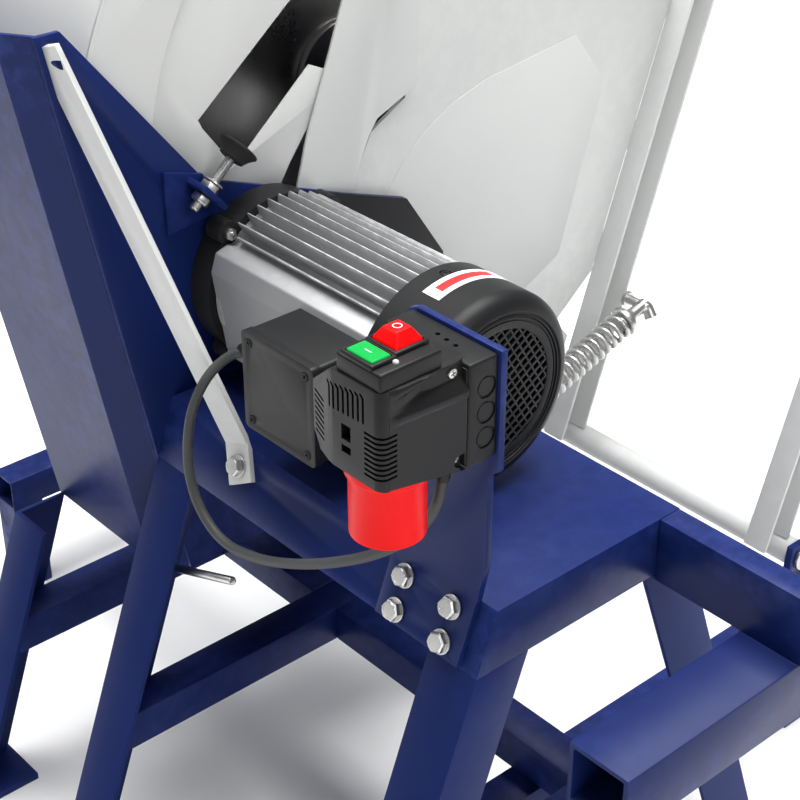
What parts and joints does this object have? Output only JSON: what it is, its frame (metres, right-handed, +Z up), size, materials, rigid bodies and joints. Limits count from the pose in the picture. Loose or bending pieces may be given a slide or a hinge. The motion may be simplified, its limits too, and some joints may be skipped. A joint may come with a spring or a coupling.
{
  "type": "rocking log saw drive unit",
  "caption": "Rocking log saw: finned motor with box switch on a folded sheet base, belt-driven toothed blade in its case, and a tilting log cradle with spring and rubber stop",
  "frame": {"origin": "centre of the footprint on the floor", "axes": "+X along the motor shaft towards its fan, +Y towards the operator, +Z up"},
  "size_m": [1.125, 1.0476, 1.0883],
  "materials": {
    "blue_paint": "satin",
    "light_paint": "satin",
    "black_metal": "satin",
    "aluminium": "cast, satin",
    "black_plastic": "fine grain",
    "zinc_steel": "zinc plated",
    "bare_steel": "ground",
    "cast_iron": "cast",
    "rubber": "matte",
    "cable_rubber": "matte",
    "red_plastic": "gloss",
    "green_plastic": "gloss",
    "label": "printed film",
    "lamp": "clear"
  },
  "bodies": {
    "base": {"platform": "blue_paint", "platform_legs": "blue_paint", "case_legs": "blue_paint", "cross_tubes": "blue_paint", "long_tubes": "blue_paint", "pivot_arms": "blue_paint", "pivot_lugs": "blue_paint", "outrigger": "blue_paint", "blade_case": "blue_paint", "back_plate": "blue_paint", "dark_cover": "black_metal", "brace_strap": "light_paint", "frame_bolts": "zinc_steel", "lock_pin": "zinc_steel", "stop_bracket": "blue_paint", "buffer_stud": "zinc_steel", "rubber_buffer": "rubber", "arbor_pillar": "blue_paint", "bearing_housing": "cast_iron", "drive_belt": "rubber", "upper_guard": "light_paint", "spring": "zinc_steel", "spring_anchor": "blue_paint", "motor_housing": "aluminium", "drive_shield": "black_metal", "tie_bolts": "zinc_steel", "fan_cowl": "black_plastic", "cowl_grille": "black_plastic", "cowl_screws": "zinc_steel", "turning_label": "label", "terminal_base": "black_plastic", "terminal_lid": "black_plastic", "terminal_screws": "zinc_steel", "terminal_gland": "black_plastic", "motor_cable": "cable_rubber", "switch_plate": "blue_paint", "switch_rear": "black_plastic", "switch_cover": "black_plastic", "cover_screws": "zinc_steel", "button_block": "black_plastic", "indicator": "lamp", "plug_shroud": "red_plastic", "plug_pins": "zinc_steel"},
    "cradle": {"cradle_rail": "light_paint", "hinge_pin": "bare_steel", "uprights": "light_paint", "cradle_guard": "light_paint", "log_vees": "light_paint", "cradle_handle": "light_paint", "spring_eye": "zinc_steel"},
    "motor_rotor": {"rotor": "bare_steel", "cooling_fan": "black_plastic", "motor_pulley": "cast_iron"},
    "blade_arbor": {"arbor": "bare_steel", "arbor_pulley": "cast_iron", "saw_blade": "bare_steel", "blade_flanges": "bare_steel", "arbor_nut": "bare_steel"},
    "start": {"start_button": "green_plastic"},
    "stop": {"stop_button": "red_plastic"}
  },
  "joints": [
    {"name": "cradle_tilt", "type": "hinge", "parent": "base", "child": "cradle", "pos_m": [-0.148, 0.22922, 0.225], "axis": [1, 0, 0], "range_deg": [0, 20], "deforming": ["spring"]},
    {"name": "motor_spin", "type": "hinge", "parent": "base", "child": "motor_rotor", "pos_m": [0.1645, -0.22578, 0.6], "axis": [1, 0, 0], "continuous": true},
    {"name": "blade_spin", "type": "hinge", "parent": "base", "child": "blade_arbor", "pos_m": [-0.1875, -0.03578, 0.71], "axis": [1, 0, 0], "continuous": true},
    {"name": "start_press", "type": "slide", "parent": "base", "child": "start", "axis": [0, 0, -1], "range_m": [0, 0.003], "stiffness_N_per_m": 400},
    {"name": "stop_press", "type": "slide", "parent": "base", "child": "stop", "axis": [0, 0, -1], "range_m": [0, 0.003], "stiffness_N_per_m": 400}
  ],
  "couplings": [
    {"joint": "blade_spin", "follows": "motor_spin", "ratio": 0.5}
  ]
}
